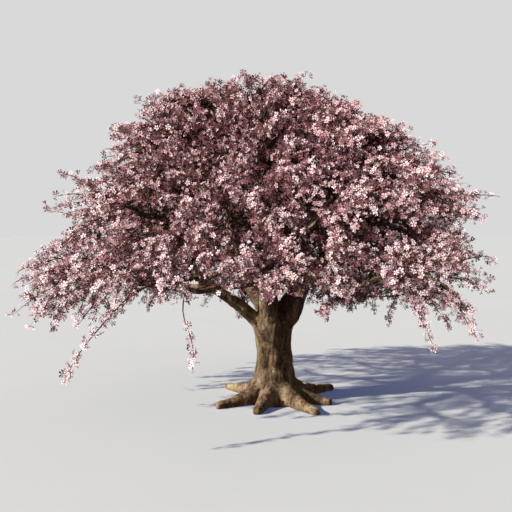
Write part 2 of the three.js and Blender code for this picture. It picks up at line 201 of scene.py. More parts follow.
def unit(v):
    return v / np.linalg.norm(v, axis=-1, keepdims=True)


def outward(azimuth):
    return np.array([math.cos(math.radians(azimuth)), math.sin(math.radians(azimuth)), 0.0])


def crown_point(distance, azimuth, height):
    return outward(azimuth) * distance + np.array([CROWN_CENTRE_X, 0.0, height])


def crown_reach(height):
    if height >= WIDEST_HEIGHT:
        rise = min(1.0, (height - WIDEST_HEIGHT) / (TREE_HEIGHT - WIDEST_HEIGHT))
        return CROWN_RADIUS * (1 - rise**DOME_POWER) ** (1 / DOME_POWER)
    drop = (WIDEST_HEIGHT - height) / (WIDEST_HEIGHT - LOWEST_TIP)
    return CROWN_RADIUS * (1 - SKIRT_TUCK * drop * drop)


def band_height(ring, azimuth, share):
    lift = FRONT_LIFT * max(0.0, -math.sin(math.radians(azimuth))) ** 2 if ring is LOW else 0.0
    return lerp(ring["band"][0] + lift, ring["band"][1], share)


def crown_shift(height):
    return np.interp(height, SHIFT_HEIGHTS, CROWN_SHIFTS)


def tip_heading(azimuth, height):
    dip = math.radians(lerp(62, -28, (height - LOWEST_TIP) / (TREE_HEIGHT - LOWEST_TIP)))
    return outward(azimuth) * math.cos(dip) - UP * math.sin(dip)


class Limb:
    """A limb's stations: points, tangents and radii."""

    def __init__(self, points, tangents, radii):
        self.points, self.tangents, self.radii = points, tangents, radii

    def at(self, share):
        place = share * (len(self.points) - 1)
        i = min(len(self.points) - 2, int(place))
        f = place - i
        tangent = unit(lerp(self.tangents[i], self.tangents[i + 1], f))
        return lerp(self.points[i], self.points[i + 1], f), tangent, lerp(self.radii[i], self.radii[i + 1], f)


def limb(start, heading, end, arrival, radii, steps, wander=0.0, draw=None, power=1.0):
    """A limb that leaves start along heading and arrives at end along arrival."""
    length = np.linalg.norm(end - start)
    p = [start, start + heading * 0.38 * length, end - arrival * 0.34 * length, end]
    phase = draw() * 2 * math.pi if draw else 0.0
    t = np.linspace(0, 1, steps + 1)[:, None]
    points = (1 - t) ** 3 * p[0] + 3 * t * (1 - t) ** 2 * p[1] + 3 * t**2 * (1 - t) * p[2] + t**3 * p[3]
    tangents = unit((1 - t) ** 2 * (p[1] - p[0]) + 2 * t * (1 - t) * (p[2] - p[1]) + t**2 * (p[3] - p[2]))
    normal = np.cross(heading, UP)
    if np.linalg.norm(normal) < 0.1:
        normal = np.array([0.0, 1.0, 0.0])
    normals = np.empty_like(points)
    for i, tangent in enumerate(tangents):
        normal = unit(normal - tangent * np.dot(normal, tangent))
        normals[i] = normal
    sides = np.cross(tangents, normals)
    sway = wander * length * np.sin(math.pi * t) ** 2
    points = points + normals * sway * np.sin(phase + 9 * t) + sides * sway * np.cos(phase + 7 * t)
    return Limb(points, tangents, lerp(radii[0], radii[1], t[:, 0] ** power))


def tubes(points, radii, sides):
    """Vertices and triangles of round tubes, one for each row of points, pointed at their far ends."""
    count, rings = radii.shape
    tangent = unit(np.gradient(points, axis=1))
    chord = points[:, -1] - points[:, 0]
    across = np.cross(chord, UP)
    across[np.linalg.norm(across, axis=1) < 1e-3 * np.linalg.norm(chord, axis=1)] = (1.0, 0.0, 0.0)
    across = np.broadcast_to(unit(across)[:, None], points.shape)
    normal = unit(across - tangent * np.sum(across * tangent, axis=2, keepdims=True))
    side = np.cross(tangent, normal)
    angle = np.arange(sides) * 2 * math.pi / sides
    spokes = normal[:, :, None] * np.cos(angle)[:, None] + side[:, :, None] * np.sin(angle)[:, None]
    hoops = points[:, :, None] + spokes * radii[:, :, None, None]
    hoops = hoops[:, :-1].reshape(count, -1, 3)
    vertices = np.concatenate([hoops, points[:, -1:]], axis=1)
    ring, s = np.divmod(np.arange((rings - 2) * sides), sides)
    a, b = ring * sides + s, ring * sides + (s + 1) % sides
    walls = np.concatenate([np.stack([a, b, b + sides], 1), np.stack([a, b + sides, a + sides], 1)])
    last = (rings - 2) * sides
    s = np.arange(sides)
    point = np.stack([last + s, last + (s + 1) % sides, np.full(sides, last + sides)], 1)
    cap = np.stack([np.zeros(sides - 2, int), np.arange(2, sides), np.arange(1, sides - 1)], 1)
    local = np.concatenate([walls, point, cap])
    triangles = local[None] + (np.arange(count) * vertices.shape[1])[:, None, None]
    return vertices.reshape(-1, 3), triangles.reshape(-1, 3)


def joined(parts):
    """One pair of vertex and triangle arrays from many."""
    offset, vertices, triangles = 0, [], []
    for v, t in parts:
        vertices.append(v)
        triangles.append(t + offset)
        offset += len(v)
    return np.concatenate(vertices), np.concatenate(triangles)


def mesh_from(name, vertices, triangles):
    mesh = bpy.data.meshes.new(name)
    mesh.vertices.add(len(vertices))
    mesh.vertices.foreach_set("co", vertices.astype(np.float32).ravel())
    mesh.loops.add(3 * len(triangles))
    mesh.loops.foreach_set("vertex_index", triangles.astype(np.int32).ravel())
    mesh.polygons.add(len(triangles))
    mesh.polygons.foreach_set("loop_start", np.arange(0, 3 * len(triangles), 3, dtype=np.int32))
    mesh.update(calc_edges=True)
    return mesh


def add_piece(name, mesh, material, smooth):
    mesh.polygons.foreach_set("use_smooth", np.full(len(mesh.polygons), smooth))
    mesh.materials.clear()
    mesh.materials.append(material)
    piece = bpy.data.objects.new(name, mesh)
    bpy.context.scene.collection.objects.link(piece)
    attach(piece, "root")
    return piece


# ---- materials -------------------------------------------------------------------------------------
def new_material(name, roughness):
    material = bpy.data.materials.new(name)
    material.use_nodes = True
    shader = material.node_tree.nodes["Principled BSDF"]
    shader.inputs["Roughness"].default_value = roughness
    shader.inputs["Specular IOR Level"].default_value = 0.25
    return material, material.node_tree, shader


def noise_node(tree, scale, stretch=(1, 1, 1), detail=5.0, roughness=0.6):
    coordinates = tree.nodes.new("ShaderNodeTexCoord")
    mapping = tree.nodes.new("ShaderNodeMapping")
    mapping.inputs["Scale"].default_value = stretch
    texture = tree.nodes.new("ShaderNodeTexNoise")
    texture.inputs["Scale"].default_value = scale
    texture.inputs["Detail"].default_value = detail
    texture.inputs["Roughness"].default_value = roughness
    tree.links.new(coordinates.outputs["Object"], mapping.inputs["Vector"])
    tree.links.new(mapping.outputs["Vector"], texture.inputs["Vector"])
    return texture.outputs["Fac"]


def ramp_node(tree, value, stops):
    ramp = tree.nodes.new("ShaderNodeValToRGB")
    for _ in stops[2:]:
        ramp.color_ramp.elements.new(0.5)
    for element, (place, colour) in zip(ramp.color_ramp.elements, stops):
        element.position = place
        element.color = (*colour, 1)
    tree.links.new(value, ramp.inputs["Fac"])
    return ramp.outputs["Color"]


def mix_node(tree, blend, factor, a, b):
    mix = tree.nodes.new("ShaderNodeMix")
    mix.data_type = "RGBA"
    mix.blend_type = blend
    if isinstance(factor, float):
        mix.inputs[0].default_value = factor
    else:
        tree.links.new(factor, mix.inputs[0])
    tree.links.new(a, mix.inputs[6])
    tree.links.new(b, mix.inputs[7])
    return mix.outputs[2]


def add_bump(tree, shader, height, strength, distance):
    bump = tree.nodes.new("ShaderNodeBump")
    bump.inputs["Strength"].default_value = strength
    bump.inputs["Distance"].default_value = distance
    tree.links.new(height, bump.inputs["Height"])
    tree.links.new(bump.outputs["Normal"], shader.inputs["Normal"])


def bark_material():
    """Tan and brown in patches, with dark lengthwise streaks, specks and olive moss."""
    material, tree, shader = new_material("bark", 0.9)
    mottle = noise_node(tree, 5.0, (1, 1, 0.5), 7.0, 0.68)
    colour = ramp_node(tree, mottle, [
        (0.34, (0.06, 0.034, 0.018)),
        (0.45, (0.16, 0.10, 0.055)),
        (0.54, (0.27, 0.19, 0.115)),
        (0.68, (0.42, 0.33, 0.22)),
    ])
    streaks = noise_node(tree, 11.0, (1, 1, 0.14), 5.0, 0.6)
    streak_tint = ramp_node(tree, streaks, [(0.36, (0.3, 0.22, 0.17)), (0.47, (1, 1, 1))])
    colour = mix_node(tree, "MULTIPLY", 1.0, colour, streak_tint)
    specks = noise_node(tree, 26.0, (1, 1, 0.7), 2.0, 0.5)
    speck_tint = ramp_node(tree, specks, [(0.33, (0.25, 0.17, 0.13)), (0.4, (1, 1, 1))])
    colour = mix_node(tree, "MULTIPLY", 1.0, colour, speck_tint)
    moss = ramp_node(tree, noise_node(tree, 2.7, (1, 1, 0.6), 4.0, 0.6), [(0.58, (0, 0, 0)), (0.68, (1, 1, 1))])
    olive = ramp_node(tree, mottle, [(0.35, (0.10, 0.085, 0.03)), (0.65, (0.28, 0.24, 0.12))])
    colour = mix_node(tree, "MIX", moss, colour, olive)
    tree.links.new(colour, shader.inputs["Base Color"])
    relief = mix_node(tree, "MULTIPLY", 1.0, mottle, streak_tint)
    add_bump(tree, shader, mix_node(tree, "MULTIPLY", 1.0, relief, speck_tint), 0.8, 0.02)
    return material


def twig_material():
    """Greyish brown twigs, a little olive in places."""
    material, tree, shader = new_material("twig_bark", 0.8)
    colour = ramp_node(tree, noise_node(tree, 9.0), [
        (0.35, (0.05, 0.034, 0.022)),
        (0.55, (0.10, 0.075, 0.045)),
        (0.7, (0.17, 0.14, 0.08)),
    ])
    tree.links.new(colour, shader.inputs["Base Color"])
    add_bump(tree, shader, noise_node(tree, 60.0), 0.4, 0.003)
    return material


def petal_material(name, colour):
    """Soft matt petals of one plain tint, very finely veined."""
    material, tree, shader = new_material(name, 0.7)
    shader.inputs["Base Color"].default_value = (*colour, 1)
    shader.inputs["Sheen Weight"].default_value = 0.1
    add_bump(tree, shader, noise_node(tree, 220.0, detail=2.0), 0.15, 0.001)
    return material


# ---- trunk, roots and boughs -------------------------------------------------------------------------
def trunk_axis(height):
    return np.array([lerp(*TRUNK_LEAN, min(1.0, height / FORK_HEIGHT)), 0.0, height])


def main_bough(azimuth, rise, radius, draw):
    rise = math.radians(rise)
    return limb(
        trunk_axis(FORK_HEIGHT - 0.26) + outward(azimuth) * 0.09,
        outward(azimuth) * math.cos(rise) + UP * math.sin(rise),
        crown_point(MID["tip"][0], azimuth, MID["tip"][1]),
        outward(azimuth) * 0.78 + UP * 0.62,
        (radius * BOUGH_SWELL, STEM_RADIUS), 36, 0.04, draw, 0.62,
    )


def leader_bough(draw):
    return limb(
        trunk_axis(FORK_HEIGHT - 0.2),
        unit(np.array([-0.12, 0.1, 1.0])),
        crown_point(TOP["tip"][0], LEADER_AZIMUTH, TOP["tip"][1]),
        unit(np.array([0.05, 0.05, 1.0])),
        (LEADER_RADIUS * BOUGH_SWELL, STEM_RADIUS), 36, 0.03, draw, 0.62,
    )


def side_limb(parent, share, ring, azimuth, draw):
    start, tangent, radius = parent.at(share)
    end = crown_point(ring["tip"][0], azimuth, ring["tip"][1])
    return limb(
        start,
        unit(tangent * 0.5 + unit(end - start)),
        end,
        unit(outward(azimuth) * 0.94 + UP * (0.55 if ring is HIGH else 0.3)),
        (radius * 0.66, STEM_RADIUS), 20, 0.035, draw, 0.8,
    )


def grow_limbs():
    """Every bough and limb by node name, and each mass as its name, azimuth, ring and carrying limb."""
    draw = seeded(SEED)
    leader = leader_bough(draw)
    limbs = {"leader": leader}
    masses = [("blossom_top", LEADER_AZIMUTH, TOP, leader)]

    def add_side_limb(name, parent, share, ring, azimuth):
        limbs["limb_" + name] = side_limb(parent, share, ring, azimuth, draw)
        masses.append(("blossom_" + name, azimuth, ring, limbs["limb_" + name]))

    for sector, azimuth, rise, radius in BOUGHS:
        bough = main_bough(azimuth, rise, radius, draw)
        limbs["bough_" + sector] = bough
        masses.append((f"blossom_{sector}_mid_1", azimuth, MID, bough))
        add_side_limb(f"{sector}_low_1", bough, 0.42, LOW, azimuth - 18)
        add_side_limb(f"{sector}_low_2", bough, 0.54, LOW, azimuth + 18)
        add_side_limb(f"{sector}_mid_2", bough, 0.68, MID, azimuth + 36)
    for i, (sector, azimuth, _, _) in enumerate(BOUGHS):
        add_side_limb(f"{sector}_high", leader, 0.5 + 0.07 * (3 * i % len(BOUGHS)), HIGH, azimuth + 18)
    return limbs, masses


def root_limb(azimuth, reach):
    away = outward(azimuth)
    foot = trunk_axis(0) + away * TRUNK_WAIST / 3 + UP * 0.52
    body = limb(
        foot, away * 0.5 - UP * 0.86, away * (reach - 0.052) + UP * 0.052, away,
        (0.255, 0.085), 20, power=0.8,
    )
    nose = [body.points[-1] + away * 0.052 * f for f in (0.5, 0.85, 1.0)]
    points = np.concatenate([body.points, nose])
    return points, np.concatenate([body.radii, [0.074, 0.048, 0.0]])


def trunk_tube():
    heights, shares = np.array(TRUNK_RINGS).T
    fine = np.linspace(heights[0], heights[-1], 60)
    points = np.array([trunk_axis(h) for h in fine])
    return points, TRUNK_WAIST * np.interp(fine, heights, shares)


def bark_height(point):
    """How far the bark stands out at a point: lumps, twisting flutes and cracks, fainter on the roots."""
    x, y, z = point
    turn = 0.45 * z
    u = x * math.cos(turn) + y * math.sin(turn)
    v = y * math.cos(turn) - x * math.sin(turn)
    lumps = noise.noise(Vector((u * 2.6, v * 2.6, z * 1.6)))
    flutes = noise.noise(Vector((u * 5.5, v * 5.5, z * 1.0 + 7)))
    cracks = abs(noise.noise(Vector((u * 13, v * 13, z * 2.6 + 3))))
    scales = noise.noise(Vector((u * 22, v * 22, z * 11)))
    strength = min(1.0, max(0.3, (z - 0.1) / 0.7))
    return strength * (0.028 * lumps + 0.032 * flutes - 0.018 * (0.5 - cracks)) + 0.005 * scales


def displaced(mesh, height, strength=1.0):
    count = len(mesh.vertices)
    co, normals = np.empty(count * 3), np.empty(count * 3)
    mesh.vertices.foreach_get("co", co)
    mesh.vertices.foreach_get("normal", normals)
    co, normals = co.reshape(-1, 3), normals.reshape(-1, 3)
    co += normals * (strength * np.array([height(p) for p in co]))[:, None]
    mesh.vertices.foreach_set("co", co.ravel())
    mesh.update()


def cut_at_ground(mesh):
    """Takes away what lies below the ground and closes the cut with a flat face."""
    bm = bmesh.new()
    bm.from_mesh(mesh)
    geometry = bm.verts[:] + bm.edges[:] + bm.faces[:]
    cut = bmesh.ops.bisect_plane(bm, geom=geometry, plane_co=(0, 0, 0), plane_no=(0, 0, -1), clear_outer=True)
    rim = [e for e in cut["geom_cut"] if isinstance(e, bmesh.types.BMEdge)]
    bmesh.ops.contextual_create(bm, geom=rim)
    bmesh.ops.triangulate(bm, faces=[f for f in bm.faces if len(f.verts) > 4])
    bm.to_mesh(mesh)
    bm.free()


def remeshed(name, vertices, triangles):
    """The tubes fused into one skin with rounded crotches."""
    rough = bpy.data.objects.new(name, mesh_from(name, vertices, triangles))
    bpy.context.scene.collection.objects.link(rough)
    fuse = rough.modifiers.new("fuse", "REMESH")
    fuse.mode = "VOXEL"
    fuse.voxel_size = VOXEL
    soften = rough.modifiers.new("soften", "SMOOTH")
    soften.factor = 0.5
    soften.iterations = 8
    graph = bpy.context.evaluated_depsgraph_get()
    mesh = bpy.data.meshes.new_from_object(rough.evaluated_get(graph))
    bpy.data.objects.remove(rough)
    return mesh


def add_trunk(limbs, bark):
    parts = [trunk_tube()] + [root_limb(*root) for root in ROOTS]
    for name, bough in limbs.items():
        if not name.startswith("limb_"):
            last = len(bough.points) * 2 // 3
            parts.append((bough.points[:last], bough.radii[:last]))
    solids = [tubes(points[None], radii[None], 16) for points, radii in parts]
    mesh = remeshed("trunk", *joined(solids))
    displaced(mesh, bark_height)
    cut_at_ground(mesh)
    return add_piece("trunk_and_roots", mesh, bark, True)


# ---- masses of blossom -------------------------------------------------------------------------------
def mass_stem(azimuth, ring, carrier, draw):
    height = band_height(ring, azimuth, 0.7 if ring is TOP else 0.5)
    return limb(
        carrier.points[-1], carrier.tangents[-1],
        crown_point(crown_reach(height), azimuth, height), tip_heading(azimuth, height),
        (STEM_RADIUS, TWIG_TIP_RADIUS), 16, 0.02, draw, 0.7,
    )


def twig_place(azimuth, ring, i, reach, overlap=0.0):
    across, upward = (
        2 * ((start + (i + 1) * step) % 1) - 1 for start, step in zip(EVEN_START, EVEN_STEPS)
    )
    to_azimuth = azimuth + across * ring["half_angle"] * TWIG_SPREAD[0]
    height = band_height(ring, to_azimuth, 0.5 + 0.5 * upward * TWIG_SPREAD[1])
    height -= overlap * (1 - upward) / 2
    share = lerp(*TWIG_SHARES, max(abs(across), abs(upward)))
    return share, to_azimuth, crown_reach(height) * reach, height


def mass_twig(stem, place, draw, shift=0.0):
    share, azimuth, reach, height = place
    end = crown_point(reach, azimuth, height) + (shift, 0, 0)
    start, tangent, _ = stem.at(share)
    return limb(
        start, unit(tangent * 0.9 + unit(end - start)), end, tip_heading(azimuth, height),
        (TWIG_RADIUS, TWIG_TIP_RADIUS), 10, 0.03, draw,
    )


def grow_twigs(masses):
    """The stem of each mass, and its twigs: the ones its solid has, and more between them."""
    stems, twigs = [], []
    for own, (name, azimuth, ring, carrier) in enumerate(masses):
        draw = seeded(SEED * 1000 + own)
        more = seeded(SEED * 2000 + own)
        stem = mass_stem(azimuth, ring, carrier, draw)
        stems.append(stem)
        places = [
            twig_place(azimuth, ring, i, lerp(*TWIG_REACHES, draw())) for i in range(FIRST_TWIGS)
        ]
        places += [shoot[1:] for shoot in SHOOTS if shoot[0] == name]
        twigs += [mass_twig(stem, place, draw) for place in places]
        for i in range(FIRST_TWIGS, FIRST_TWIGS + MORE_TWIGS[ring["name"]]):
            reach = lerp(*MORE_REACHES, 1 - more() ** 1.5)
            overlap = 0.0 if ring is LOW else BAND_OVERLAP
            share, *rest = twig_place(azimuth, ring, i, reach, overlap)
            place = (share * lerp(0.2, 1.0, more()), *rest)
            twigs.append(mass_twig(stem, place, more, crown_shift(rest[-1])))
    return stems, twigs


def inner_twigs(limbs, rng):
    """Flowering twigs straight off the boughs and limbs, that fill the crown's inside."""
    found = []
    for name, parent in limbs.items():
        length = np.linalg.norm(np.diff(parent.points, axis=0), axis=1).sum()
        count = int(length / INNER_TWIG_SPACING)
        turn = rng.uniform(0, 2 * math.pi)
        for i in range(count):
            start, tangent, radius = parent.at((i + 0.7) / count)
            side = unit(np.cross(tangent, UP) + 1e-4)
            angle = turn + i * GOLDEN_ANGLE
            away = side * math.cos(angle) + np.cross(tangent, side) * math.sin(angle)
            heading = unit(away + 0.7 * tangent)
            reach = rng.uniform(*INNER_TWIG_LENGTHS)
            end = start + unit(heading + 0.3 * tangent - 0.1 * UP) * reach
            if min(start[2], end[2]) < SKIRT_HEIGHTS[0]:
                continue
            found.append(limb(start, heading, end, unit(heading - 0.4 * UP), (0.011, 0.005), 10, 0.03, rng.random))
    return found


def stacked(limbs):
    return np.array([l.points for l in limbs]), np.array([l.radii for l in limbs])


def sprouts(points, spacing, first, last, rng):
    """Even places along each row of points: the row's number, and the share of its length."""
    length = np.linalg.norm(np.diff(points, axis=1), axis=2).sum(axis=1)
    counts = np.maximum(1, np.round(length * (last - first) / spacing)).astype(int)
    parent = np.repeat(np.arange(len(points)), counts)
    order = np.arange(len(parent)) - np.repeat(np.cumsum(counts) - counts, counts)
    share = lerp(first, last, (order + rng.uniform(0.1, 0.9, len(parent))) / counts[parent])
    return parent, share


def along(points, radii, parent, share):
    place = share * (points.shape[1] - 1)
    i = np.minimum(place.astype(int), points.shape[1] - 2)
    f = place - i
    a, b = points[parent, i], points[parent, i + 1]
    return lerp(a, b, f[:, None]), unit(b - a), lerp(radii[parent, i], radii[parent, i + 1], f)


def drooping(points):
    """The way tips point at each place: outward, and down near the skirt or up near the top."""
    away = points * (1, 1, 0) - (CROWN_CENTRE_X, 0, 0)
    away /= np.maximum(0.3, np.linalg.norm(away, axis=1, keepdims=True))
    dip = np.radians(lerp(62, -28, (points[:, 2] - LOWEST_TIP) / (TREE_HEIGHT - LOWEST_TIP)))[:, None]
    return unit(away * np.cos(dip) - UP * np.sin(dip))


def in_crown(points, share, sag):
    """Whether each point lies inside that share of the crown's dome, and over its sagging skirt."""
    x, y, z = points.T
    distance = np.hypot(x - CROWN_CENTRE_X - crown_shift(z), y)
    rise = np.clip((z - WIDEST_HEIGHT) / (TREE_HEIGHT - WIDEST_HEIGHT), 0, 1)
    reach = CROWN_RADIUS * share * (1 - rise**DOME_POWER) ** (1 / DOME_POWER)
    front = np.maximum(0, -y / np.maximum(distance, 0.1)) ** 2
    edge = SKIRT_HEIGHTS[1] + SKIRT_LIFT * front
    skirt = lerp(SKIRT_HEIGHTS[0], edge, np.clip(distance / 4, 0, 1)) - sag
    return (distance < reach) & (z > skirt)


def grown_on(points, radii, parent, share, lengths, lean, droop, thickness, rng, steps=4, fenced=True):
    """Side shoots at the given places, turned round their parents by the golden angle."""
    start, tangent, radius = along(points, radii, parent, share)
    side = unit(np.cross(tangent, UP) + 1e-4)
    angle = (parent * 1.7 + np.arange(len(parent)) * GOLDEN_ANGLE)[:, None]
    away = side * np.cos(angle) + np.cross(tangent, side) * np.sin(angle)
    lean = np.radians(lean * rng.uniform(0.6, 1.4, len(parent)))[:, None]
    heading = unit(tangent * np.cos(lean) + away * np.sin(lean))
    aim = unit(heading + droop * drooping(start))
    reach = lengths.copy()
    room = rng.triangular(*DOME_SHARES, len(parent)), rng.triangular(*SKIRT_SAGS, len(parent))
    for shorter in (0.75, 0.5, 0.3):
        outside = ~in_crown(start + aim * reach[:, None], *room)
        reach[outside] = lengths[outside] * shorter
    kept = in_crown(start + aim * reach[:, None], *room) | (not fenced)
    start, heading, aim, reach, radius = (v[kept] for v in (start, heading, aim, reach[:, None], radius))
    end = start + aim * reach
    arrival = unit(aim + 0.5 * droop * drooping(end))
    p = [start, start + heading * 0.38 * reach, end - arrival * 0.34 * reach, end]
    t = np.linspace(0, 1, steps + 1)[None, :, None]
    p = [q[:, None] for q in p]
    curve = (1 - t) ** 3 * p[0] + 3 * t * (1 - t) ** 2 * p[1] + 3 * t**2 * (1 - t) * p[2] + t**3 * p[3]
    base = np.minimum(radius, thickness)[:, None]
    return curve, lerp(base, 0.4 * base, t[:, :, 0])


# A petal's outline, from its root to its blunt end, in flower radii, and the plain one of the dark flowers that
# stand in for shade deep in the crown.
PETAL = np.array([(0.06, 0.0), (0.78, -0.32), (1.02, 0.0), (0.78, 0.32)])
PETAL_FACES = np.array([(0, 1, 3), (1, 2, 3)])
PLAIN_PETAL = np.array([(0.0, 0.0), (0.95, -0.32), (0.95, 0.32)])
PLAIN_FACES = np.array([(0, 1, 2)])


def flower_template(petal, petal_faces):
    """Five petals round +Z. A vertex's height is its cupping, scaled later."""
    vertices, faces = [], []
    for k in range(5):
        angle = 2 * math.pi * k / 5
        x, y = petal.T
        turned = np.stack([
            x * math.cos(angle) - y * math.sin(angle),
            x * math.sin(angle) + y * math.cos(angle),
            x**2 + 0.5 * np.abs(y),
        ], axis=1)
        vertices.append(turned)
        faces.append(petal_faces + k * len(petal))
    return np.concatenate(vertices), np.concatenate(faces)


def frames_along(axes, rng):
    """A frame for each axis, turned at random about it: rows are x, y and the axis."""
    helper = np.where(np.abs(axes[:, 2:3]) < 0.9, UP, np.array([1.0, 0.0, 0.0]))
    x = unit(np.cross(helper, axes))
    y = np.cross(axes, x)
    turn = rng.uniform(0, 2 * math.pi, len(axes))[:, None]
    return np.stack([x * np.cos(turn) + y * np.sin(turn), y * np.cos(turn) - x * np.sin(turn), axes], axis=1)


def flowers(points, tangents, rng):
    """Flowers in clusters: their cluster, where they stand, their frames, sizes and cupping."""
    counts = 1 + rng.binomial(4, (FLOWERS_A_CLUSTER - 1) / 4, len(points))
    cluster = np.repeat(np.arange(len(points)), counts)
    away = rng.normal(size=(len(cluster), 3))
    away -= 0.8 * tangents[cluster] * np.sum(away * tangents[cluster], axis=1, keepdims=True)
    out = unit(points[cluster] - np.array([CROWN_CENTRE_X, 0.0, 2.6]))
    axes = unit(unit(away) + 0.4 * out + 0.15 * np.array(SUNWARD))
    centres = points[cluster] + axes * PEDICEL * rng.uniform(0.6, 1.6, (len(cluster), 1))
    centres += tangents[cluster] * rng.uniform(-0.03, 0.03, (len(cluster), 1))
    sizes = FLOWER_RADIUS * rng.uniform(0.8, 1.15, len(cluster))
    cups = rng.choice([0.05, 0.3, 0.6, 1.1], size=len(cluster), p=[0.3, 0.35, 0.22, 0.13])
    return cluster, centres, frames_along(axes, rng), sizes, cups


def crowding(points):
    """How many flowers stand before each one, on its ways out of the crown."""
    low = points.min(axis=0)
    cells = ((points - low) / CELL).astype(int)
    counts = np.zeros(cells.max(axis=0) + 1)
    np.add.at(counts, tuple(cells.T), 1)
    azimuth = np.arctan2(points[:, 1], points[:, 0] - CROWN_CENTRE_X)
    ahead = np.zeros(len(points))
    for turn, rise in np.radians(WAYS_OUT):
        level = np.cos(rise)
        way = np.stack([
            level * np.cos(azimuth + turn), level * np.sin(azimuth + turn), np.full(len(points), np.sin(rise)),
        ], axis=1)
        for step in range(1, 11):
            cell = ((points + way * step * CELL - low) / CELL).astype(int)
            within = np.all((cell >= 0) & (cell < counts.shape), axis=1)
            ahead[within] += counts[tuple(cell[within].T)]
    return ahead / len(WAYS_OUT)


def petal_arrays(template, faces, centres, frames, sizes, cups):
    local = np.broadcast_to(template, (len(centres), *template.shape)).copy()
    local[:, :, 2] *= cups[:, None]
    local[:, :, :2] *= (1.1 - 0.45 * cups)[:, None, None]
    vertices = np.einsum("nvi,nij->nvj", local * sizes[:, None, None], frames) + centres[:, None]
    triangles = faces[None] + (np.arange(len(centres)) * len(template))[:, None, None]
    return vertices.reshape(-1, 3), triangles.reshape(-1, 3)


def heart_arrays(roots, centres, frames, sizes):
    """A deep heart to each flower, and the sliver of a stalk that joins it to its twig."""
    angle = np.arange(3) * 2 * math.pi / 3
    rim = np.stack([0.22 * np.cos(angle), 0.22 * np.sin(angle), np.full(3, 0.1)], axis=1)
    rims = np.einsum("vi,nij->nvj", rim, frames) * sizes[:, None, None] + centres[:, None]
    vertices = np.concatenate([rims, roots[:, None]], axis=1)
    faces = np.array([(0, 1, 2), (1, 0, 3)])
    triangles = faces[None] + (np.arange(len(centres)) * 4)[:, None, None]
    return vertices.reshape(-1, 3), triangles.reshape(-1, 3)


def inside_box(points, margin):
    low, high = (np.array(corner) for corner in cad_box)
    return np.all((points > low + margin) & (points < high - margin), axis=-1)


def boxed(rows):
    """The shoots of which every point lies inside the solids' box."""
    kept = inside_box(rows[0], EDGE / 2).all(axis=1)
    return [row[kept] for row in rows]


# ---- putting the tree together -----------------------------------------------------------------------
rng = np.random.default_rng(SEED)
bark = bark_material()
twig_bark = twig_material()
limbs, masses = grow_limbs()
stems, twigs = grow_twigs(masses)
twigs += inner_twigs(limbs, rng)
stem_rows, twig_rows = stacked(stems), stacked(twigs)


def add_wands(rows, first):
    parent, share = sprouts(rows[0], WAND_SPACING, first, 0.97, rng)
    lengths = lerp(*WAND_LENGTHS, share) * rng.uniform(0.6, 1.2, len(share))
    return grown_on(*rows, parent, share, lengths, WAND_LEAN, WAND_DROOP, 0.009, rng)


wand_rows = [np.concatenate(both) for both in zip(add_wands(stem_rows, 0.25), add_wands(twig_rows, 0.2))]
wand_rows = boxed(wand_rows)
parent, share = sprouts(wand_rows[0], SPRIG_SPACING, 0.15, 0.95, rng)
lengths = rng.uniform(*SPRIG_LENGTHS, len(share))
sprig_rows = boxed(grown_on(*wand_rows, parent, share, lengths, SPRIG_LEAN, 0.4, 0.0055, rng, 2))
hanging = ~in_crown(twig_rows[0][:, -1], 1.0, 0.0)
loose_rows = [rows[hanging] for rows in twig_rows]
parent, share = sprouts(loose_rows[0], LOOSE_SPACING, 0.45, 1.0, rng)
lengths = rng.uniform(*LOOSE_LENGTHS, len(share))
loose_rows = grown_on(*loose_rows, parent, share, lengths, SPRIG_LEAN, 0.4, 0.0055, rng, 2, fenced=False)
sprig_rows = [np.concatenate(both) for both in zip(sprig_rows, boxed(loose_rows))]

trunk = add_trunk(limbs, bark)
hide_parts("trunk", *[name for name in limbs if not name.startswith("limb_")])

boughs = []
for (name, azimuth, ring, carrier), stem in zip(masses, stems):
    points = np.concatenate([carrier.points, stem.points[1:]])
    radii = np.concatenate([carrier.radii, stem.radii[1:]])
    boughs.append(tubes(points[None], radii[None], 10))
mesh = mesh_from("boughs", *joined(boughs))
displaced(mesh, bark_height, 0.25)
bough_piece = add_piece("boughs_and_stems", mesh, bark, True)
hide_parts(*[name for name in limbs if name.startswith("limb_")])

twig_parts = [tubes(*twig_rows, 4), tubes(*wand_rows, 3), tubes(*sprig_rows, 3)]
twig_piece = add_piece("twigs", mesh_from("twigs", *joined(twig_parts)), twig_bark, True)

places = []
for rows, first in ((stem_rows, 0.6), (twig_rows, 0.4), (wand_rows, 0.12), (sprig_rows, 0.4)):
    parent, share = sprouts(rows[0], CLUSTER_SPACING, first, 1.0, rng)
    places.append(along(*rows, parent, share)[:2])
points, tangents = (np.concatenate(pair) for pair in zip(*places))
kept = inside_box(points, EDGE + 2.5 * PEDICEL)
points, tangents = points[kept], tangents[kept]
cluster, centres, frames, sizes, cups = flowers(points, tangents, rng)
# Painted shade: a flower's tint gets deeper the more flowers stand before it on its ways out, in place of the
# shade inside the crown. It also gets deeper towards the top and paler low down, painted to even out the light.
# The rest is chance.
crowd = crowding(centres)
shade = 0.3 + 0.62 * crowd * rng.uniform(0.1, 1.0, len(cluster)) + rng.exponential(1.5, len(cluster))
shade += TOP_PAINTED_SHADE * np.clip((centres[:, 2] - 3) / 3, -0.5, 1)
tint = np.searchsorted(TINT_STEPS, shade)
